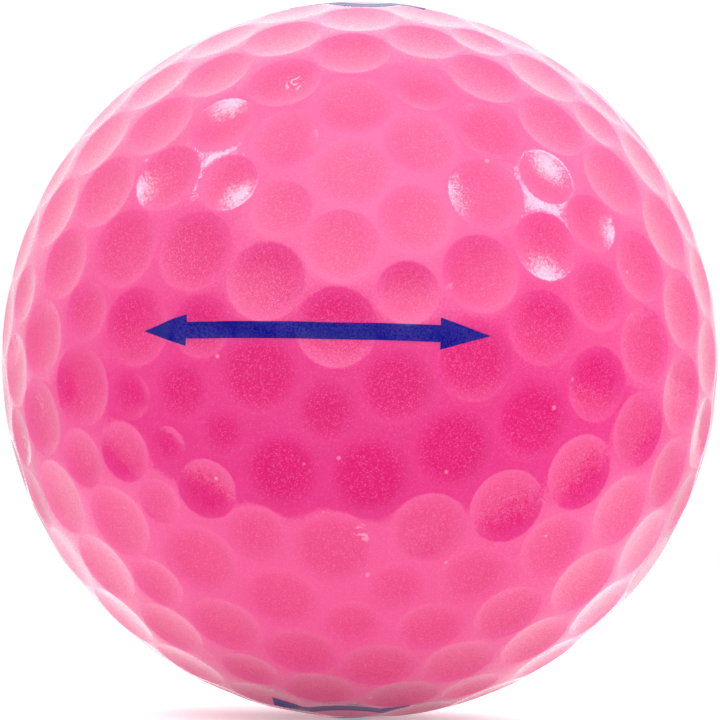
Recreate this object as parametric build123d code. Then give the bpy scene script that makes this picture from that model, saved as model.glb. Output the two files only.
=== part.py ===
from build123d import *

import math
import os

# A two-piece golf ball, in millimetres. The centre of the ball is the origin, +Z runs through the
# printed top pole and the side mark is centred on the -Y side.

# Ball and core
BALL_DIAMETER = 42.7
CORE_DIAMETER = 39.0

# Dimples: every one is a shallow spherical dish, and all meet the ball at the same edge angle.
DIMPLE_EDGE_ANGLE = 14.0
DIMPLE_DIAMETERS = {
    "A": 4.55,
    "B": 4.35,
    "C": 4.15,
    "D": 3.9,
    "E": 3.45,
    "F": 2.7,
    "G": 2.2,
}

# The layout: one dimple of each family as size, longitude, latitude in the pattern's own frame.
# Each is repeated at the twelve places of a tetrahedral rotation pattern.
DIMPLE_FAMILIES = [
    ("A", 30.5, 51.0),
    ("A", 10.5, 50.0),
    ("A", -7.0, 45.5),
    ("A", -38.5, 53.0),
    ("A", -74.5, 55.5),
    ("B", 37.5, 39.5),
    ("B", 66.5, 46.0),
    ("B", -27.0, 64.5),
    ("B", 19.0, 62.0),
    ("B", -55.0, 63.0),
    ("B", -66.0, 42.5),
    ("B", 84.0, 80.0),
    ("B", 34.5, 73.5),
    ("C", 49.5, 49.5),
    ("C", 44.5, 62.0),
    ("C", -4.5, 59.0),
    ("C", 82.5, 51.5),
    ("C", -46.0, 74.5),
    ("C", -4.5, 83.5),
    ("D", 66.0, 58.0),
    ("D", 69.0, 69.0),
    ("E", -4.5, 72.5),
    ("E", -20.0, 53.0),
    ("E", -77.5, 69.5),
    ("E", 87.5, 62.0),
    ("E", -49.5, 43.0),
    ("E", -56.5, 51.5),
    ("F", -37.5, 42.5),
]
# The smallest size sits on the corners of a tetrahedron, so its family has only four dimples.
CORNER_SIZE = "G"
CORNERS = [(1, -1, 1), (-1, 1, 1), (1, 1, -1), (-1, -1, -1)]
# The bare spot in the middle of three "B" dimples, on a three-fold axis of the pattern.
LAND_POINT = (1, 1, 1)
# How the dimple pattern is turned under the printing.
PATTERN_TURN = (-22.8, -4.3, 14.6)

# Printed ink
INK_THICKNESS = 0.03
SIDE_MARK_LENGTH = 18.9
SIDE_MARK_WIDTH = 0.9
ARROW_LENGTH = 2.6
ARROW_WIDTH = 1.7
NUMBER_HEIGHT = 5.0
NUMBER_WIDTH = 4.0
NUMBER_STROKE = 0.95
CROSSBAR_HEIGHT = 1.3
WINDOW_TOP_GAP = 1.6
WINDOW_SIDE_GAP = 1.2
BAR_LENGTH = 8.0
BAR_WIDTH = 1.2
BAR_OFFSET = 4.8
# Only the dimples within this many degrees of a mark's middle are cut under it.
SIDE_MARK_REACH = 34.0
POLE_MARK_REACH = 26.0

# Dimple cutters stop this far outside a rim and this high above the ball.
RIM_MARGIN = 0.04
TOOL_HEIGHT = 0.4
# A mark's outline is drawn this far above the ball and pressed this deep.
PRINT_CLEARANCE = 0.5
PRINT_DEPTH = 3.2

BALL_RADIUS = BALL_DIAMETER / 2
CORE_RADIUS = CORE_DIAMETER / 2


def direction(longitude, latitude):
    """The unit vector at a longitude and a latitude."""
    lon = math.radians(longitude)
    lat = math.radians(latitude)
    return (math.cos(lon) * math.cos(lat), math.sin(lon) * math.cos(lat), math.sin(lat))


def family(first):
    """The twelve directions that a dimple is repeated at: three cyclic turns by four half turns."""
    x, y, z = first
    places = []
    for a, b, c in ((x, y, z), (y, z, x), (z, x, y)):
        places += [(a, b, c), (a, -b, -c), (-a, b, -c), (-a, -b, c)]
    return places


def dimple_layout():
    """Every dimple as its size and its direction in the pattern's frame."""
    layout = [(CORNER_SIZE, corner) for corner in CORNERS]
    for size, longitude, latitude in DIMPLE_FAMILIES:
        layout += [(size, place) for place in family(direction(longitude, latitude))]
    return layout


def dimple_cutter(size, ink):
    """The plug that cuts one dimple at the top of the ball, for a ball grown by a layer of ink."""
    rim_radius = DIMPLE_DIAMETERS[size] / 2
    rim_angle = math.asin(rim_radius / BALL_RADIUS)
    dish_angle = math.radians(DIMPLE_EDGE_ANGLE) - rim_angle
    dish_radius = rim_radius / math.sin(dish_angle)
    centre = BALL_RADIUS * math.cos(rim_angle) + dish_radius * math.cos(dish_angle)
    # The same dish cut in a ball grown by the ink, whose surface is raised by the ink too.
    ball = BALL_RADIUS + ink
    dish = dish_radius - ink
    along = (dish**2 + centre**2 - ball**2) / (2 * centre)
    edge_angle = math.acos(along / dish) + RIM_MARGIN / dish
    edge = (dish * math.sin(edge_angle), centre - dish * math.cos(edge_angle))
    scale = 1 + TOOL_HEIGHT / math.hypot(*edge)
    top = (edge[0] * scale, edge[1] * scale)
    dish_arc = CenterArc((0, centre), dish, -90, math.degrees(edge_angle))
    sides = Polyline(edge, top, (0, top[1]), (0, centre - dish))
    profile = make_face(Plane.XZ * (dish_arc + sides))
    return revolve(profile, Axis.Z)


def pointing(place):
    """The location that turns +Z toward a direction from the centre of the ball."""
    return Plane(origin=(0, 0, 0), z_dir=place).location


def angle_between(a, b):
    """The angle between two directions, in degrees."""
    return Vector(a).get_angle(Vector(b))


def dimple_cutters(ink=0.0, near=None, reach=180.0):
    """The cutters of all dimples in the pattern's frame, or of those within reach of a direction."""
    masters = {size: dimple_cutter(size, ink) for size in DIMPLE_DIAMETERS}
    cutters = []
    for size, place in dimple_layout():
        turned = (Rot(*PATTERN_TURN) * Pos(*place)).position
        if near is None or angle_between(turned, near) < reach:
            cutters.append(pointing(place) * masters[size])
    return cutters


def smooth_ball(radius):
    """A sphere in the pattern's frame, whose own pole lies on the land between three dimples."""
    return pointing(LAND_POINT) * Sphere(radius)


def inked_ball(ink, near, reach):
    """A solid ball grown by a layer of ink, with the dimples near one direction cut."""
    return Rot(*PATTERN_TURN) * (smooth_ball(BALL_RADIUS + ink) - dimple_cutters(ink, near, reach))


def core():
    """The solid rubber core."""
    return Sphere(CORE_RADIUS)


def cover():
    """The moulded dimpled cover, a closed shell around the core."""
    shell = smooth_ball(BALL_RADIUS) - Sphere(CORE_RADIUS)
    return Rot(*PATTERN_TURN) * (shell - dimple_cutters())


def printed_film(outline, plane, reach):
    """A film of ink on the dimpled surface, where an outline drawn on a plane falls on the ball."""
    towards = tuple(plane.z_dir)
    stamp = extrude(plane * outline, -PRINT_DEPTH)
    inked = inked_ball(INK_THICKNESS, towards, reach)
    bare = inked_ball(0.0, towards, reach)
    return (stamp & inked) - bare


def arrow_line():
    """A straight alignment line with an arrowhead at each end."""
    end = SIDE_MARK_LENGTH / 2
    neck = end - ARROW_LENGTH
    half = SIDE_MARK_WIDTH / 2
    points = [
        (neck, half),
        (neck, ARROW_WIDTH / 2),
        (end, 0),
        (neck, -ARROW_WIDTH / 2),
        (neck, -half),
    ]
    far = [(-x, -y) for x, y in points]
    return make_face(Polyline(*points, *far, close=True))


def play_number():
    """The figure four drawn with straight strokes, between two short bars."""
    top = NUMBER_HEIGHT / 2
    right = NUMBER_WIDTH / 2
    stem = right - NUMBER_STROKE
    stem_left = stem - NUMBER_STROKE
    over = -top + CROSSBAR_HEIGHT + NUMBER_STROKE / 2
    under = over - NUMBER_STROKE
    outer = make_face(
        Polyline(
            (stem_left, top),
            (stem, top),
            (stem, over),
            (right, over),
            (right, under),
            (stem, under),
            (stem, -top),
            (stem_left, -top),
            (stem_left, under),
            (-right, under),
            (-right, over),
            close=True,
        )
    )
    window = make_face(
        Polyline(
            (stem_left, over),
            (stem_left, top - WINDOW_TOP_GAP),
            (-right + WINDOW_SIDE_GAP, over),
            close=True,
        )
    )
    figure = outer - window
    bar = Rectangle(BAR_LENGTH, BAR_WIDTH)
    return figure + Pos(0, BAR_OFFSET) * bar + Pos(0, -BAR_OFFSET) * bar


def side_mark():
    """The alignment line on the equator, facing -Y."""
    front = Plane(origin=(0, -BALL_RADIUS - PRINT_CLEARANCE, 0), x_dir=(1, 0, 0), z_dir=(0, -1, 0))
    return printed_film(arrow_line(), front, SIDE_MARK_REACH)


def top_number():
    """The play number on the top pole, upright when seen with the side mark toward the eye."""
    top = Plane(origin=(0, 0, BALL_RADIUS + PRINT_CLEARANCE), x_dir=(1, 0, 0), z_dir=(0, 0, 1))
    return printed_film(play_number(), top, POLE_MARK_REACH)


def bottom_number():
    """The play number on the bottom pole."""
    bottom = Plane(origin=(0, 0, -BALL_RADIUS - PRINT_CLEARANCE), x_dir=(1, 0, 0), z_dir=(0, 0, -1))
    return printed_film(play_number(), bottom, POLE_MARK_REACH)


def main():
    os.makedirs("parts", exist_ok=True)
    pieces = {
        "core": core(),
        "cover": cover(),
        "side_mark": side_mark(),
        "top_number": top_number(),
        "bottom_number": bottom_number(),
    }
    for name, shape in pieces.items():
        export_step(shape, f"parts/{name}.step")


main()
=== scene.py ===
import math

import bmesh
import bpy
import numpy as np
from mathutils import Matrix, Vector
from mathutils.geometry import delaunay_2d_cdt


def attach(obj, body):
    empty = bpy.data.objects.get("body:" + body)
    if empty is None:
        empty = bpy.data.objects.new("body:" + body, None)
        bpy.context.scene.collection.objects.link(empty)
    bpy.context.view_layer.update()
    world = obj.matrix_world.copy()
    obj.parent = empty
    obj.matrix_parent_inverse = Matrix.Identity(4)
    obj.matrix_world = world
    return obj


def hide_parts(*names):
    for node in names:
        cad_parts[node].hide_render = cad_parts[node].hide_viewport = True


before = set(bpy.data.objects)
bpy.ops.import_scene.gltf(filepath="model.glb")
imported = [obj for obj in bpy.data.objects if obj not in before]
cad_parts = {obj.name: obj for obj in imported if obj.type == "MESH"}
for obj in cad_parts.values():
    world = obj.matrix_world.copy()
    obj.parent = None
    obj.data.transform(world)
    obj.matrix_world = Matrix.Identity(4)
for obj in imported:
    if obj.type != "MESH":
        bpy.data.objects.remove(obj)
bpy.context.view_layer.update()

MM = 0.001
BALL_RADIUS = 21.35 * MM

# Dimples: shallow spherical dishes that all meet the ball at the same edge angle.
DIMPLE_EDGE_ANGLE = math.radians(14.0)
DIMPLE_DIAMETERS = {
    "A": 4.55 * MM,
    "B": 4.35 * MM,
    "C": 4.15 * MM,
    "D": 3.9 * MM,
    "E": 3.45 * MM,
    "F": 2.7 * MM,
    "G": 2.2 * MM,
}
# One dimple of each family as size, longitude, latitude in the pattern's own frame. Each is
# repeated at the twelve places of a tetrahedral rotation pattern, as in the CAD model.
DIMPLE_FAMILIES = [
    ("A", 30.5, 51.0),
    ("A", 10.5, 50.0),
    ("A", -7.0, 45.5),
    ("A", -38.5, 53.0),
    ("A", -74.5, 55.5),
    ("B", 37.5, 39.5),
    ("B", 66.5, 46.0),
    ("B", -27.0, 64.5),
    ("B", 19.0, 62.0),
    ("B", -55.0, 63.0),
    ("B", -66.0, 42.5),
    ("B", 84.0, 80.0),
    ("B", 34.5, 73.5),
    ("C", 49.5, 49.5),
    ("C", 44.5, 62.0),
    ("C", -4.5, 59.0),
    ("C", 82.5, 51.5),
    ("C", -46.0, 74.5),
    ("C", -4.5, 83.5),
    ("D", 66.0, 58.0),
    ("D", 69.0, 69.0),
    ("E", -4.5, 72.5),
    ("E", -20.0, 53.0),
    ("E", -77.5, 69.5),
    ("E", 87.5, 62.0),
    ("E", -49.5, 43.0),
    ("E", -56.5, 51.5),
    ("F", -37.5, 42.5),
]
CORNER_SIZE = "G"
CORNERS = [(1, -1, 1), (-1, 1, 1), (1, 1, -1), (-1, -1, -1)]
PATTERN_TURN = (-22.8, -4.3, 14.6)

# A rim is rounded where the dish is less than this much above or below the land.
RIM_ROUNDING = 0.02 * MM
# Beyond this distance outside its rim, a dimple has no effect on the surface.
DIMPLE_REACH = 0.4 * MM
# Rings of points in a dimple: shares of its radius, then distances from its rim.
DISH_RINGS = (0.3, 0.57, 0.8)
RIM_RINGS = (-0.1 * MM, -0.045 * MM, 0.0, 0.045 * MM)
SEGMENTS = {"A": 36, "B": 36, "C": 36, "D": 36, "E": 30, "F": 24, "G": 20}
LAND_POINTS = 9000
LAND_CLEARANCE = 0.16 * MM
# The least square of a sine, which keeps the middle of a dimple finite, and the distances that
# a net of triangles and its cuts take for zero
TINY_SQUARE = 1e-18
NET_TOLERANCE = 1e-9
CUT_TOLERANCE = 1e-8

# Ink film: how far it stands above the cover, its thickness, and the size of its cells
INK_RISE = 0.014 * MM
INK_DEPTH = 0.03 * MM
INK_GRID = 0.16 * MM
# Outlines of the marks, as in the CAD model
SIDE_MARK_LENGTH = 18.9 * MM
SIDE_MARK_WIDTH = 0.9 * MM
ARROW_LENGTH = 2.6 * MM
ARROW_WIDTH = 1.7 * MM
NUMBER_HEIGHT = 5.0 * MM
NUMBER_WIDTH = 4.0 * MM
NUMBER_STROKE = 0.95 * MM
CROSSBAR_HEIGHT = 1.3 * MM
WINDOW_TOP_GAP = 1.6 * MM
WINDOW_SIDE_GAP = 1.2 * MM
BAR_LENGTH = 8.0 * MM
BAR_WIDTH = 1.2 * MM
BAR_OFFSET = 4.8 * MM

# Camera
CAMERA_DISTANCE = 8 * BALL_RADIUS
CAMERA_AZIMUTH = math.radians(7.3)
CAMERA_ELEVATION = math.radians(-4.1)
CAMERA_ROLL = math.radians(1.43)
BALL_SHARE_OF_FRAME = 0.995
CAMERA_NEAR_CLIP = 0.01

# Pearl pink, linear
# The dish colour is painted shade, darker than the land.
PEARL_DISH_PAINTED_SHADE = (0.49, 0.004, 0.115, 1)
PEARL_LAND = (0.52, 0.025, 0.165, 1)
# A paler colour on some flakes, a painted glint.
PEARL_PAINTED_GLINT = (0.56, 0.04, 0.2, 1)
PEARL_SPECK = (0.6, 0.18, 0.3, 1)
PEARL_SCUFF = (0.75, 0.4, 0.5, 1)
# The colour changes from the painted shade of the dish to the land over this much depth below the ball's
# surface.
PAINTED_DISH_SHADE_DEPTH = 0.2 * MM
# Clouds of noise scale that change up and down, between these levels.
CLOUDS_PER_METRE = 260.0
CLOUD_LEVELS = (0.6, 1.2)
# Fine flakes tilt the base layer and the coat, and vary the roughness. Some of them have a paler colour, a
# painted glint.
FLAKES_PER_METRE = 17000.0
FLAKE_TILT = 0.22
COAT_TILT = 0.08
FLAKE_ROUGHNESS = (0.38, 0.52)
PAINTED_GLINT_CHANCE = [(0.7, 0.0), (1.0, 1.0)]
SPECKS_PER_METRE = 330.0
SPECK_EDGE = [(0.03, 0.7), (0.05, 0.0)]

# Scuffs: patches of noise, and the finer scratches that show in them
SCUFFS_PER_METRE = 260.0
SCUFF_EDGE = [(0.72, 0.0), (0.77, 1.0)]
SCRATCHES_PER_METRE = 1500.0
SCRATCH_EDGE = [(0.53, 0.0), (0.6, 0.6)]

# Ink, linear
INK_THICK = (0.002, 0.001, 0.13, 1)
INK_THIN = (0.02, 0.014, 0.17, 1)
INK_PATCHES_PER_METRE = 330.0
INK_GRAINS_PER_METRE = 9000.0
INK_LEVELS = (0.2, 0.36)

# Rubber of the core, linear
RUBBER_DARK = (0.2, 0.24, 0.21, 1)
RUBBER_PALE = (0.46, 0.52, 0.47, 1)
RUBBER_SPECKS_PER_METRE = 1800.0
RUBBER_LEVELS = (0.38, 0.52)
RUBBER_BUMP = 0.05 * MM

# The numbers of the sockets that a Mix node uses for colours
MIX_FACTOR = 0
MIX_FIRST = 6
MIX_SECOND = 7
MIX_RESULT = 2

# The white room: its glow at the horizon and overhead, and the height where the second is reached
SIDE_GLOW = 1.0
TOP_GLOW = 1.9
ROOM_TOP = 0.9

# The floor that the camera sees
FLOOR_REACH = 3.0
FLOOR_GLOW = 0.32
FLOOR_GRAINS_PER_METRE = 400.0
FLOOR_GREYS = [(0.3, 0.86), (0.7, 0.9)]

# Cards that only the ball's reflections see. A fade of a black card is two places, in metres, and
# the share of black at each of them. The stops of a round one go from its middle to its edge.

# The table's front edge: how far in front of the ball's middle it runs, and where and how steeply
# it turns back on the right. The floor beyond it is dark.
TABLE_FRONT = 26.5 * MM
TABLE_CORNER = 8.0 * MM
TABLE_CORNER_ANGLE = math.radians(20.0)
ROOM_REACH = 1.2
DARK_FLOOR_LIFT = 1.0 * MM
DARK_FLOOR_DENSITY = 1.0
DARK_FLOOR_SIDES = (0.9, 0.1, 0.0, 1.0)
DARK_FLOOR_FRONT = (-0.07, -0.034, 0.72, 1.0)

# The dark side of the room behind the camera
DARK_SIDE_BACK = -0.3
DARK_SIDE_TOP = 0.125
DARK_SIDE_REACH = 2.5
DARK_SIDE_DENSITY = 0.8
DARK_SIDE_SIDES = (1.8, 0.5, 0.0, 1.0)
DARK_SIDE_HEIGHT = (DARK_SIDE_TOP, -0.02, 0.0, 1.0)

# The bright ceiling in front of the ball
FRONT_GLOW = 4.0
CEILING_REACH = 1.3
CEILING_TOWARD = (0.1, -0.7, 0.71)
CEILING_DISTANCE = 0.75
CEILING_STOPS = [(0.0, 1.0), (0.35, 0.8), (0.75, 0.25), (1.0, 0.0)]

# The table around the ball, dimmer away from it
TABLE_SIDES_REACH = 0.5
TABLE_SIDES_LIFT = 0.5 * MM
TABLE_SIDES_STOPS = [(0.0, 0.0), (0.065, 0.0), (0.13, 0.55), (1.0, 0.6)]

# Softboxes: a lamp that reflections don't see, and a soft glow in its place that only they see.
# Each has its direction, the lamp's size and power, and half the width of the glow.
SOFTBOX_DISTANCE = 0.5
SOFTBOX_SHINE = 16.0
SOFTBOX_STOPS = [(0.0, 1.0), (0.22, 0.85), (0.34, 0.3), (0.65, 0.14), (1.0, 0.0)]
LEFT_TOWARD = (-0.58, -0.27, 0.77)
LEFT_SIZE = 0.1
LEFT_POWER = 0.45
LEFT_REACH = 0.2
RIGHT_TOWARD = (0.74, -0.15, 0.65)
RIGHT_SIZE = 0.14
RIGHT_POWER = 0.85
RIGHT_REACH = 0.25


# ---------------------------------------------------------------- the dimpled surface


def pattern_matrix():
    """The rotation that turns the dimple pattern under the printing."""
    turn = Matrix.Identity(3)
    for angle, axis in zip(PATTERN_TURN, "XYZ"):
        turn = turn @ Matrix.Rotation(math.radians(angle), 3, axis)
    return np.array(turn)


def family(first):
    """The twelve directions that a dimple is repeated at: three cyclic turns by four half turns."""
    x, y, z = first
    places = []
    for a, b, c in ((x, y, z), (y, z, x), (z, x, y)):
        places += [(a, b, c), (a, -b, -c), (-a, b, -c), (-a, -b, c)]
    return places


class Dimple:
    """One dimple: its direction from the centre of the ball and the sphere that cuts it."""

    def __init__(self, size, place):
        self.size = size
        self.axis = pattern_matrix() @ np.array(place, float)
        self.axis /= np.linalg.norm(self.axis)
        self.rim_radius = DIMPLE_DIAMETERS[size] / 2
        self.rim_angle = math.asin(self.rim_radius / BALL_RADIUS)
        dish_angle = DIMPLE_EDGE_ANGLE - self.rim_angle
        self.dish_radius = self.rim_radius / math.sin(dish_angle)
        self.centre = BALL_RADIUS * math.cos(self.rim_angle) + self.dish_radius * math.cos(dish_angle)


def all_dimples():
    """Every dimple of the ball."""
    dimples = [Dimple(CORNER_SIZE, corner) for corner in CORNERS]
    for size, longitude, latitude in DIMPLE_FAMILIES:
        lon = math.radians(longitude)
        lat = math.radians(latitude)
        first = (math.cos(lon) * math.cos(lat), math.sin(lon) * math.cos(lat), math.sin(lat))
        dimples += [Dimple(size, place) for place in family(first)]
    return dimples


DIMPLES = all_dimples()


def surface(directions):
    """The distance from the centre and the outward normal of the cover's surface at unit vectors."""
    distance = np.full(len(directions), BALL_RADIUS)
    slope = np.zeros_like(directions)
    for dimple in DIMPLES:
        cosine = directions @ dimple.axis
        reach = math.cos(dimple.rim_angle + DIMPLE_REACH / BALL_RADIUS)
        near = np.nonzero(cosine > reach)[0]
        if len(near) == 0:
            continue
        u = directions[near]
        cos_a = np.clip(cosine[near], -1, 1)
        sin_a = np.sqrt(np.maximum(1 - cos_a**2, TINY_SQUARE))
        root = np.sqrt(dimple.dish_radius**2 - (dimple.centre * sin_a) ** 2)
        dish = dimple.centre * cos_a - root
        depth = BALL_RADIUS - dish
        rounding = np.clip(depth + RIM_ROUNDING, 0, 2 * RIM_ROUNDING)
        cut = np.where(depth > RIM_ROUNDING, depth, rounding**2 / (4 * RIM_ROUNDING))
        share = rounding / (2 * RIM_ROUNDING)
        climb = -dimple.centre * sin_a + dimple.centre**2 * sin_a * cos_a / root
        away = (u * cos_a[:, None] - dimple.axis) / sin_a[:, None]
        distance[near] -= cut
        slope[near] += (share * climb)[:, None] * away
    normals = directions * distance[:, None] - slope
    normals /= np.linalg.norm(normals, axis=1, keepdims=True)
    return distance, normals


def ring(dimple, angle):
    """Unit vectors around a dimple's axis, at one angle from it."""
    nearly_along_x = 0.8
    helper = np.array([1.0, 0, 0]) if abs(dimple.axis[0]) < nearly_along_x else np.array([0, 1.0, 0])
    side = np.cross(dimple.axis, helper)
    side /= np.linalg.norm(side)
    up = np.cross(dimple.axis, side)
    turn = np.arange(SEGMENTS[dimple.size]) * 2 * math.pi / SEGMENTS[dimple.size]
    around = np.cos(turn)[:, None] * side + np.sin(turn)[:, None] * up
    return math.cos(angle) * dimple.axis + math.sin(angle) * around


def dimple_rings(dimple):
    """The angles of a dimple's rings, from the middle outward."""
    angles = [share * dimple.rim_angle for share in DISH_RINGS]
    return angles + [dimple.rim_angle + offset / BALL_RADIUS for offset in RIM_RINGS]


def land_points():
    """Evenly spread unit vectors that lie on the land, clear of every dimple."""
    index = np.arange(LAND_POINTS) + 0.5
    z = 1 - 2 * index / LAND_POINTS
    turn = math.pi * (1 + math.sqrt(5)) * index
    across = np.sqrt(1 - z * z)
    points = np.stack([across * np.cos(turn), across * np.sin(turn), z], axis=1)
    clear = np.ones(LAND_POINTS, bool)
    for dimple in DIMPLES:
        limit = dimple.rim_angle + (RIM_RINGS[-1] + LAND_CLEARANCE) / BALL_RADIUS
        clear &= points @ dimple.axis < math.cos(limit)
    return points[clear]


def land_faces(points, owner, pole):
    """Triangles of the land between the outer rings, by a Delaunay net seen from one dimple."""
    view = Vector(pole).rotation_difference(Vector((0, 0, 1))).to_matrix()
    turned = points @ np.array(view).T
    flat = turned[:, :2] / (1 - turned[:, 2])[:, None]
    net = delaunay_2d_cdt([Vector(p) for p in flat], [], [], 0, NET_TOLERANCE)
    triangles, sources = net[2], net[3]
    faces = []
    for corners in triangles:
        ids = [sources[corner][0] for corner in corners]
        owners = {owner[i] for i in ids}
        if len(owners) > 1 or owners == {-1}:
            faces.append(ids)
    return faces


def mesh_object(name, directions, rise, faces):
    """A mesh on the cover's surface, raised by rise, with the surface's own normals."""
    distance, normals = surface(directions)
    places = directions * (distance + rise)[:, None]
    mesh = bpy.data.meshes.new(name)
    mesh.from_pydata(places.tolist(), [], faces)
    mesh.update()
    mesh.shade_smooth()
    mesh.normals_split_custom_set_from_vertices(normals.tolist())
    piece = bpy.data.objects.new(name, mesh)
    bpy.context.scene.collection.objects.link(piece)
    return piece


def build_cover():
    """The cover's outer surface: rings of points in every dimple and a net of triangles between."""
    points = []
    owner = []
    faces = []
    outer = []
    count = 0
    for number, dimple in enumerate(DIMPLES):
        segments = SEGMENTS[dimple.size]
        rings = dimple_rings(dimple)
        points.append(dimple.axis[None, :])
        points += [ring(dimple, angle) for angle in rings]
        first = count + 1
        for i in range(segments):
            j = (i + 1) % segments
            faces.append((count, first + i, first + j))
            for r in range(len(rings) - 1):
                inner = first + r * segments
                outside = inner + segments
                faces.append((inner + i, outside + i, outside + j, inner + j))
        last = first + (len(rings) - 1) * segments
        outer += range(last, last + segments)
        owner += [number] * segments
        count += 1 + len(rings) * segments
    land = land_points()
    outer += range(count, count + len(land))
    owner += [-1] * len(land)
    points = np.vstack(points + [land])
    for triangle in land_faces(points[outer], owner, DIMPLES[0].axis):
        faces.append(tuple(outer[i] for i in triangle))
    return mesh_object("dimpled_cover", points, np.zeros(len(points)), outward(points, faces))


def outward(points, faces):
    """The same faces, each turned to face away from the centre of the ball."""
    turned = []
    for face in faces:
        a, b, c = points[face[0]], points[face[1]], points[face[2]]
        faces_out = np.dot(np.cross(b - a, c - a), a) > 0
        turned.append(face if faces_out else face[::-1])
    return turned


# ---------------------------------------------------------------- printed marks


def arrow_outline():
    """A straight alignment line with an arrowhead at each end."""
    end = SIDE_MARK_LENGTH / 2
    neck = end - ARROW_LENGTH
    half = SIDE_MARK_WIDTH / 2
    points = [
        (neck, half),
        (neck, ARROW_WIDTH / 2),
        (end, 0),
        (neck, -ARROW_WIDTH / 2),
        (neck, -half),
    ]
    return [points + [(-x, -y) for x, y in points]]


def number_outlines():
    """The figure four with its window, and a short bar on each side of it."""
    top = NUMBER_HEIGHT / 2
    right = NUMBER_WIDTH / 2
    stem = right - NUMBER_STROKE
    half = NUMBER_STROKE / 2
    crossbar = -top + CROSSBAR_HEIGHT
    outer = [
        (stem - NUMBER_STROKE, top),
        (stem, top),
        (stem, crossbar + half),
        (right, crossbar + half),
        (right, crossbar - half),
        (stem, crossbar - half),
        (stem, -top),
        (stem - NUMBER_STROKE, -top),
        (stem - NUMBER_STROKE, crossbar - half),
        (-right, crossbar - half),
        (-right, crossbar + half),
    ]
    window = [
        (stem - NUMBER_STROKE, crossbar + half),
        (stem - NUMBER_STROKE, top - WINDOW_TOP_GAP),
        (-right + WINDOW_SIDE_GAP, crossbar + half),
    ]
    bars = []
    for offset in (BAR_OFFSET, -BAR_OFFSET):
        low = offset - BAR_WIDTH / 2
        high = offset + BAR_WIDTH / 2
        side = BAR_LENGTH / 2
        bars.append([(-side, low), (side, low), (side, high), (-side, high)])
    return [outer, window] + bars


def outline_mesh(outlines):
    """A flat net of small cells inside closed outlines; an outline inside another is a window."""
    net = bmesh.new()
    edges = []
    for outline in outlines:
        corners = [net.verts.new((x, y, 0)) for x, y in outline]
        for a, b in zip(corners, corners[1:] + corners[:1]):
            edges.append(net.edges.new((a, b)))
    bmesh.ops.triangle_fill(net, edges=edges, use_beauty=True, normal=(0, 0, 1))
    reach = max(abs(value) for outline in outlines for point in outline for value in point)
    steps = int(reach / INK_GRID) + 1
    for axis in ((1, 0, 0), (0, 1, 0)):
        for step in range(-steps, steps + 1):
            bmesh.ops.bisect_plane(
                net,
                geom=net.verts[:] + net.edges[:] + net.faces[:],
                plane_co=Vector(axis) * step * INK_GRID,
                plane_no=axis,
                dist=CUT_TOLERANCE,
            )
    bmesh.ops.triangulate(net, faces=net.faces[:])
    return net


def printed_piece(name, outlines, right, up, toward):
    """A film of ink where outlines drawn on a plane fall on the dimpled surface."""
    net = outline_mesh(outlines)
    net.verts.index_update()
    flat = np.array([vert.co[:2] for vert in net.verts])
    height = np.sqrt(BALL_RADIUS**2 - (flat**2).sum(axis=1))
    axes = np.array([right, up, toward], float)
    directions = np.column_stack([flat, height]) @ axes
    directions /= np.linalg.norm(directions, axis=1, keepdims=True)
    count = len(flat)
    top = [[vert.index for vert in face.verts] for face in net.faces]
    bottom = [[i + count for i in face[::-1]] for face in top]
    walls = []
    for edge in net.edges:
        if len(edge.link_faces) == 1:
            a, b = [loop.vert.index for loop in (edge.link_loops[0], edge.link_loops[0].link_loop_next)]
            walls.append((a, a + count, b + count, b))
    net.free()
    rise = np.concatenate([np.full(count, INK_RISE), np.full(count, INK_RISE - INK_DEPTH)])
    return mesh_object(name, np.vstack([directions, directions]), rise, top + bottom + walls)


# ---------------------------------------------------------------- materials


def new_material(name):
    """An empty node material with its shader, and a function that adds nodes to it."""
    material = bpy.data.materials.new(name)
    material.use_nodes = True
    tree = material.node_tree
    shader = tree.nodes["Principled BSDF"]

    def add(kind, inputs=None, **settings):
        node = tree.nodes.new(kind)
        for key, value in settings.items():
            setattr(node, key, value)
        for key, value in (inputs or {}).items():
            if isinstance(value, bpy.types.NodeSocket):
                tree.links.new(value, node.inputs[key])
            else:
                node.inputs[key].default_value = value
        return node

    return material, shader, add, tree.links


def set_values(shader, values):
    """Sets constant values on a shader's own sockets."""
    for key, value in values.items():
        shader.inputs[key].default_value = value


def ramp(add, factor, stops):
    """A colour ramp over a factor, with stops of position and grey or colour."""
    node = add("ShaderNodeValToRGB", {"Fac": factor})
    elements = node.color_ramp.elements
    while len(elements) < len(stops):
        elements.new(0.5)
    for element, (position, colour) in zip(elements, stops):
        element.position = position
        element.color = colour if isinstance(colour, tuple) else (colour, colour, colour, 1)
    return node.outputs["Color"]


def between(add, share, levels):
    """A value between two levels, by a share of 0 to 1."""
    node = add("ShaderNodeMapRange", {"Value": share, "To Min": levels[0], "To Max": levels[1]})
    return node.outputs["Result"]


def tilted_normal(add, vector, amount):
    """The surface's normal, tipped a little in the direction that a random colour stands for."""
    centred = add("ShaderNodeVectorMath", {0: vector, 1: (0.5, 0.5, 0.5)}, operation="SUBTRACT")
    tip = add("ShaderNodeVectorMath", {0: centred.outputs["Vector"], "Scale": amount}, operation="SCALE")
    normal = add("ShaderNodeNewGeometry").outputs["Normal"]
    tipped = add("ShaderNodeVectorMath", {0: normal, 1: tip.outputs["Vector"]})
    unit = add("ShaderNodeVectorMath", {0: tipped.outputs["Vector"]}, operation="NORMALIZE")
    return unit.outputs["Vector"]


def mix_colours(add, factor, first, second):
    """A blend of two colours, each given as a value or as a socket."""
    node = add("ShaderNodeMix", data_type="RGBA")
    links = node.id_data.links
    links.new(factor, node.inputs[MIX_FACTOR])
    for socket, colour in ((node.inputs[MIX_FIRST], first), (node.inputs[MIX_SECOND], second)):
        if isinstance(colour, bpy.types.NodeSocket):
            links.new(colour, socket)
        else:
            socket.default_value = colour
    return node.outputs[MIX_RESULT]


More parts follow.
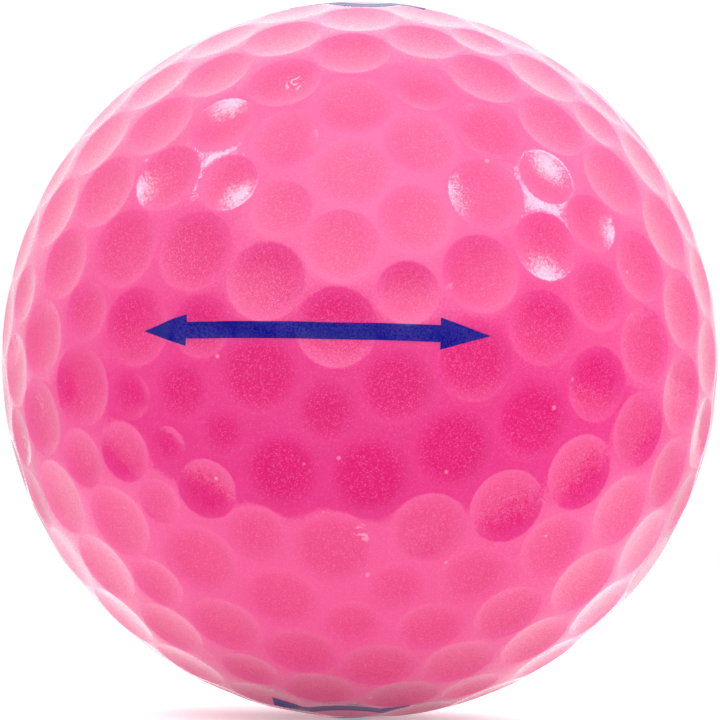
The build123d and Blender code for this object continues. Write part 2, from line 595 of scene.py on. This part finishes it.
def scuffs(add, place):
    """A few small scratched patches, where two thresholds of noise meet."""
    patches = add("ShaderNodeTexNoise", {"Vector": place, "Scale": SCUFFS_PER_METRE, "Detail": 2.0})
    scratches = add(
        "ShaderNodeTexNoise",
        {"Vector": place, "Scale": SCRATCHES_PER_METRE, "Detail": 3.0, "Distortion": 2.0},
    )
    where = ramp(add, patches.outputs["Fac"], SCUFF_EDGE)
    what = ramp(add, scratches.outputs["Fac"], SCRATCH_EDGE)
    both = add("ShaderNodeMath", {0: where, 1: what}, operation="MULTIPLY")
    return both.outputs["Value"]


def cover_material():
    """Pearl pink ionomer under a clear coat, with painted shade that makes it deeper in the dimples, fine
    flakes with a painted glint on some of them, and specks.
    """
    material, shader, add, links = new_material("pearl_cover")
    place = add("ShaderNodeTexCoord").outputs["Object"]
    radius = add("ShaderNodeVectorMath", {0: place}, operation="LENGTH").outputs["Value"]
    # Painted shade: the colour goes darker toward the middle of each dimple, by depth below the surface.
    level = add(
        "ShaderNodeMapRange",
        {"Value": radius, "From Min": BALL_RADIUS - PAINTED_DISH_SHADE_DEPTH, "From Max": BALL_RADIUS},
        interpolation_type="SMOOTHSTEP",
    ).outputs["Result"]
    clouds = add("ShaderNodeTexNoise", {"Vector": place, "Scale": CLOUDS_PER_METRE, "Detail": 4.0})
    cloudy = between(add, clouds.outputs["Fac"], CLOUD_LEVELS)
    share = add("ShaderNodeMath", {0: level, 1: cloudy}, operation="MULTIPLY").outputs["Value"]
    dish_shaded_pearl = mix_colours(add, share, PEARL_DISH_PAINTED_SHADE, PEARL_LAND)
    flakes = add("ShaderNodeTexVoronoi", {"Vector": place, "Scale": FLAKES_PER_METRE}).outputs["Color"]
    chance = add("ShaderNodeSeparateColor", {"Color": flakes}).outputs["Red"]
    # Painted glint: some flakes get a paler colour.
    painted_glints = ramp(add, chance, PAINTED_GLINT_CHANCE)
    painted_glinting = mix_colours(add, painted_glints, dish_shaded_pearl, PEARL_PAINTED_GLINT)
    specks = add("ShaderNodeTexVoronoi", {"Vector": place, "Scale": SPECKS_PER_METRE})
    tiny = ramp(add, specks.outputs["Distance"], SPECK_EDGE)
    speckled = mix_colours(add, tiny, painted_glinting, PEARL_SPECK)
    links.new(mix_colours(add, scuffs(add, place), speckled, PEARL_SCUFF), shader.inputs["Base Color"])
    links.new(tilted_normal(add, flakes, FLAKE_TILT), shader.inputs["Normal"])
    links.new(tilted_normal(add, flakes, COAT_TILT), shader.inputs["Coat Normal"])
    links.new(between(add, chance, FLAKE_ROUGHNESS), shader.inputs["Roughness"])
    set_values(
        shader,
        {
            "IOR": 1.25,
            "Specular Tint": (1.0, 0.75, 1.0, 1),
            "Subsurface Weight": 0.45,
            "Subsurface Radius": (1.0, 0.25, 0.4),
            "Subsurface Scale": 0.7 * MM,
            "Coat Weight": 1.0,
            "Coat Roughness": 0.03,
            "Coat IOR": 1.45,
        },
    )
    return material


def ink_material():
    """Dark blue pad-printed ink under the clear coat, thin enough in places to look paler."""
    material, shader, add, links = new_material("print_ink")
    place = add("ShaderNodeTexCoord").outputs["Object"]
    patches = add("ShaderNodeTexNoise", {"Vector": place, "Scale": INK_PATCHES_PER_METRE, "Detail": 3.0})
    grain = add("ShaderNodeTexNoise", {"Vector": place, "Scale": INK_GRAINS_PER_METRE, "Detail": 2.0})
    both = add("ShaderNodeMath", {0: patches.outputs["Fac"], 1: grain.outputs["Fac"]}, operation="MULTIPLY")
    stops = list(zip(INK_LEVELS, (INK_THICK, INK_THIN)))
    links.new(ramp(add, both.outputs["Value"], stops), shader.inputs["Base Color"])
    set_values(
        shader,
        {
            "Roughness": 0.5,
            "Specular IOR Level": 0.0,
            "Coat Weight": 0.6,
            "Coat Roughness": 0.06,
            "Coat IOR": 1.4,
        },
    )
    return material


def core_material():
    """Matt filled rubber with darker specks, as seen on a ball that is cut open."""
    material, shader, add, links = new_material("core_rubber")
    place = add("ShaderNodeTexCoord").outputs["Object"]
    specks = add("ShaderNodeTexNoise", {"Vector": place, "Scale": RUBBER_SPECKS_PER_METRE, "Detail": 5.0})
    height = specks.outputs["Fac"]
    stops = list(zip(RUBBER_LEVELS, (RUBBER_DARK, RUBBER_PALE)))
    links.new(ramp(add, height, stops), shader.inputs["Base Color"])
    bump = add("ShaderNodeBump", {"Height": height, "Strength": 0.3, "Distance": RUBBER_BUMP})
    links.new(bump.outputs["Normal"], shader.inputs["Normal"])
    set_values(shader, {"Roughness": 0.75})
    return material


# ---------------------------------------------------------------- studio


def square(reach, height):
    """The corners of a level square around the ball's axis, at a height."""
    sides = ((-reach, -reach), (reach, -reach), (reach, reach), (-reach, reach))
    return [(x, y, height) for x, y in sides]


def card(name, corners, material):
    """A flat card."""
    mesh = bpy.data.meshes.new(name)
    mesh.from_pydata(corners, [], [tuple(range(len(corners)))])
    mesh.materials.append(material)
    piece = bpy.data.objects.new(name, mesh)
    bpy.context.scene.collection.objects.link(piece)
    return piece


def floor_material():
    """A plain pale floor, which glows a little."""
    material, shader, add, links = new_material("pale_floor")
    place = add("ShaderNodeTexCoord").outputs["Object"]
    grain = add("ShaderNodeTexNoise", {"Vector": place, "Scale": FLOOR_GRAINS_PER_METRE, "Detail": 3.0})
    links.new(ramp(add, grain.outputs["Fac"], FLOOR_GREYS), shader.inputs["Base Color"])
    set_values(
        shader,
        {"Roughness": 0.6, "Emission Color": (1, 1, 1, 1), "Emission Strength": FLOOR_GLOW},
    )
    return material


def fade(add, value, limits):
    """A soft change from one share to another between two places."""
    start, end, first_share, last_share = limits
    node = add(
        "ShaderNodeMapRange",
        {
            "Value": value,
            "From Min": start,
            "From Max": end,
            "To Min": first_share,
            "To Max": last_share,
        },
        interpolation_type="SMOOTHSTEP",
    )
    return node.outputs["Result"]


def soft_flag_material(name, sides, axis, along, density):
    """A black flag with one fade toward both sides and another along an axis."""
    material, shader, add, links = new_material(name)
    place = add("ShaderNodeSeparateXYZ", {"Vector": add("ShaderNodeTexCoord").outputs["Object"]})
    sideways = add("ShaderNodeMath", {0: place.outputs["X"]}, operation="ABSOLUTE").outputs["Value"]
    fades = {0: fade(add, sideways, sides), 1: fade(add, place.outputs[axis], along)}
    both = add("ShaderNodeMath", fades, operation="MULTIPLY")
    cover = add("ShaderNodeMath", {0: both.outputs["Value"], 1: density}, operation="MULTIPLY")
    links.new(cover.outputs["Value"], shader.inputs["Alpha"])
    set_values(shader, {"Base Color": (0, 0, 0, 1), "Roughness": 1.0, "Specular IOR Level": 0.0})
    return material


def glow_material(name, stops, strength):
    """A glow, or at no strength a black flag, by a ramp from its middle to its nearest edges."""
    material, shader, add, links = new_material(name)
    place = add("ShaderNodeTexCoord").outputs["Generated"]
    centred = add("ShaderNodeVectorMath", {0: place, 1: (0.5, 0.5, 0.0)}, operation="SUBTRACT")
    flat = add("ShaderNodeVectorMath", {0: centred.outputs["Vector"], 1: (2, 2, 0)}, operation="MULTIPLY")
    away = add("ShaderNodeVectorMath", {0: flat.outputs["Vector"]}, operation="LENGTH")
    glow = ramp(add, away.outputs["Value"], stops)
    links.new(glow, shader.inputs["Emission Color"])
    links.new(glow, shader.inputs["Alpha"])
    set_values(
        shader,
        {"Base Color": (0, 0, 0, 1), "Specular IOR Level": 0.0, "Emission Strength": strength},
    )
    return material


def glossy_only(piece):
    """Lets a card be seen only in reflections."""
    piece.visible_camera = False
    piece.visible_diffuse = False
    piece.visible_shadow = False
    piece.visible_transmission = False
    piece.visible_volume_scatter = False


def toward_ball(piece, toward, distance):
    """Places a lamp or a card in a direction from the ball, facing it."""
    place = Vector(toward).normalized() * distance
    piece.location = place
    piece.rotation_euler = (-place).to_track_quat("-Z", "Y").to_euler()


def softbox(name, toward, size, power, reach):
    """A square area light that faces the ball, and the soft-edged glow that the ball mirrors."""
    light = bpy.data.lights.new(name, "AREA")
    light.shape = "SQUARE"
    light.size = size
    light.energy = power
    lamp = bpy.data.objects.new(name, light)
    toward_ball(lamp, toward, SOFTBOX_DISTANCE)
    lamp.visible_glossy = False
    bpy.context.scene.collection.objects.link(lamp)
    material = glow_material(name + "_glow", SOFTBOX_STOPS, SOFTBOX_SHINE)
    glow = card(name + "_glow", square(reach, 0), material)
    toward_ball(glow, toward, SOFTBOX_DISTANCE)
    glossy_only(glow)


def white_room():
    """A white world that is brighter overhead than at the horizon."""
    world = bpy.data.worlds.new("white_room")
    bpy.context.scene.world = world
    world.use_nodes = True
    nodes = world.node_tree.nodes
    links = world.node_tree.links
    background = nodes["Background"]
    background.inputs["Color"].default_value = (1.0, 1.0, 1.0, 1)
    place = nodes.new("ShaderNodeTexCoord")
    height = nodes.new("ShaderNodeSeparateXYZ")
    links.new(place.outputs["Generated"], height.inputs["Vector"])
    glow = nodes.new("ShaderNodeMapRange")
    glow.interpolation_type = "SMOOTHSTEP"
    glow.inputs["From Min"].default_value = 0.0
    glow.inputs["From Max"].default_value = ROOM_TOP
    glow.inputs["To Min"].default_value = SIDE_GLOW
    glow.inputs["To Max"].default_value = TOP_GLOW
    links.new(height.outputs["Z"], glow.inputs["Value"])
    links.new(glow.outputs["Result"], background.inputs["Strength"])


def dark_floor():
    """The dark floor of the room, beyond the table's front edge."""
    height = DARK_FLOOR_LIFT - BALL_RADIUS
    corner_run = ROOM_REACH - TABLE_CORNER
    outline = [
        (-ROOM_REACH, -TABLE_FRONT, height),
        (TABLE_CORNER, -TABLE_FRONT, height),
        (ROOM_REACH, -TABLE_FRONT + corner_run * math.tan(TABLE_CORNER_ANGLE), height),
        (ROOM_REACH, -ROOM_REACH, height),
        (-ROOM_REACH, -ROOM_REACH, height),
    ]
    material = soft_flag_material(
        "dark_floor", DARK_FLOOR_SIDES, "Y", DARK_FLOOR_FRONT, DARK_FLOOR_DENSITY
    )
    glossy_only(card("table_end", outline, material))


def dark_side():
    """The dark side of the room, behind the camera."""
    outline = [
        (-DARK_SIDE_REACH, DARK_SIDE_BACK, -BALL_RADIUS),
        (DARK_SIDE_REACH, DARK_SIDE_BACK, -BALL_RADIUS),
        (DARK_SIDE_REACH, DARK_SIDE_BACK, DARK_SIDE_TOP),
        (-DARK_SIDE_REACH, DARK_SIDE_BACK, DARK_SIDE_TOP),
    ]
    material = soft_flag_material(
        "dark_room", DARK_SIDE_SIDES, "Z", DARK_SIDE_HEIGHT, DARK_SIDE_DENSITY
    )
    glossy_only(card("dark_side", outline, material))


def front_ceiling():
    """The bright ceiling in front of the ball."""
    material = glow_material("front_ceiling", CEILING_STOPS, FRONT_GLOW)
    ceiling = card("front_ceiling", square(CEILING_REACH, 0), material)
    toward_ball(ceiling, CEILING_TOWARD, CEILING_DISTANCE)
    glossy_only(ceiling)


def table_sides():
    """A black flag just above the table, clear around the ball, so that the table looks dimmer."""
    corners = square(TABLE_SIDES_REACH, TABLE_SIDES_LIFT - BALL_RADIUS)
    glossy_only(card("table_sides", corners, glow_material("table_sides", TABLE_SIDES_STOPS, 0.0)))


def build_studio():
    """A white room with a pale floor, and what the ball mirrors of the place it stands in."""
    white_room()
    card("floor", square(FLOOR_REACH, -BALL_RADIUS), floor_material())
    dark_floor()
    dark_side()
    front_ceiling()
    table_sides()
    softbox("left_softbox", LEFT_TOWARD, LEFT_SIZE, LEFT_POWER, LEFT_REACH)
    softbox("right_softbox", RIGHT_TOWARD, RIGHT_SIZE, RIGHT_POWER, RIGHT_REACH)


def build_camera():
    """A camera low in front of the ball, a little to its right, slightly rolled."""
    data = bpy.data.cameras.new("camera")
    half_width = math.tan(math.asin(BALL_RADIUS / CAMERA_DISTANCE)) / BALL_SHARE_OF_FRAME
    data.angle = 2 * math.atan(half_width)
    data.clip_start = CAMERA_NEAR_CLIP
    camera = bpy.data.objects.new("camera", data)
    flat = math.cos(CAMERA_ELEVATION)
    back = Vector(
        (math.sin(CAMERA_AZIMUTH) * flat, -math.cos(CAMERA_AZIMUTH) * flat, math.sin(CAMERA_ELEVATION))
    )
    level = Vector((math.cos(CAMERA_AZIMUTH), math.sin(CAMERA_AZIMUTH), 0))
    level_up = back.cross(level)
    right = level * math.cos(CAMERA_ROLL) + level_up * math.sin(CAMERA_ROLL)
    up = back.cross(right)
    turn = Matrix((right, up, back)).transposed()
    camera.matrix_world = Matrix.Translation(back * CAMERA_DISTANCE) @ turn.to_4x4()
    bpy.context.scene.collection.objects.link(camera)
    bpy.context.scene.camera = camera


# ---------------------------------------------------------------- assembly


def dress(piece, material, node):
    """Gives a piece its material and body, and lets it stand for its CAD node."""
    piece.data.materials.append(material)
    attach(piece, "root")
    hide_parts(node)


def build_ball():
    """Every visible piece of the ball."""
    dress(build_cover(), cover_material(), "cover")
    ink = ink_material()
    side = printed_piece("side_print", arrow_outline(), (1, 0, 0), (0, 0, 1), (0, -1, 0))
    dress(side, ink, "side_mark")
    top = printed_piece("top_print", number_outlines(), (1, 0, 0), (0, 1, 0), (0, 0, 1))
    dress(top, ink, "top_number")
    bottom = printed_piece("bottom_print", number_outlines(), (1, 0, 0), (0, -1, 0), (0, 0, -1))
    dress(bottom, ink, "bottom_number")
    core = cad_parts["core"]
    core.data.materials.clear()
    core.data.materials.append(core_material())


build_ball()
build_studio()
build_camera()
bpy.context.scene.view_settings.view_transform = "Standard"
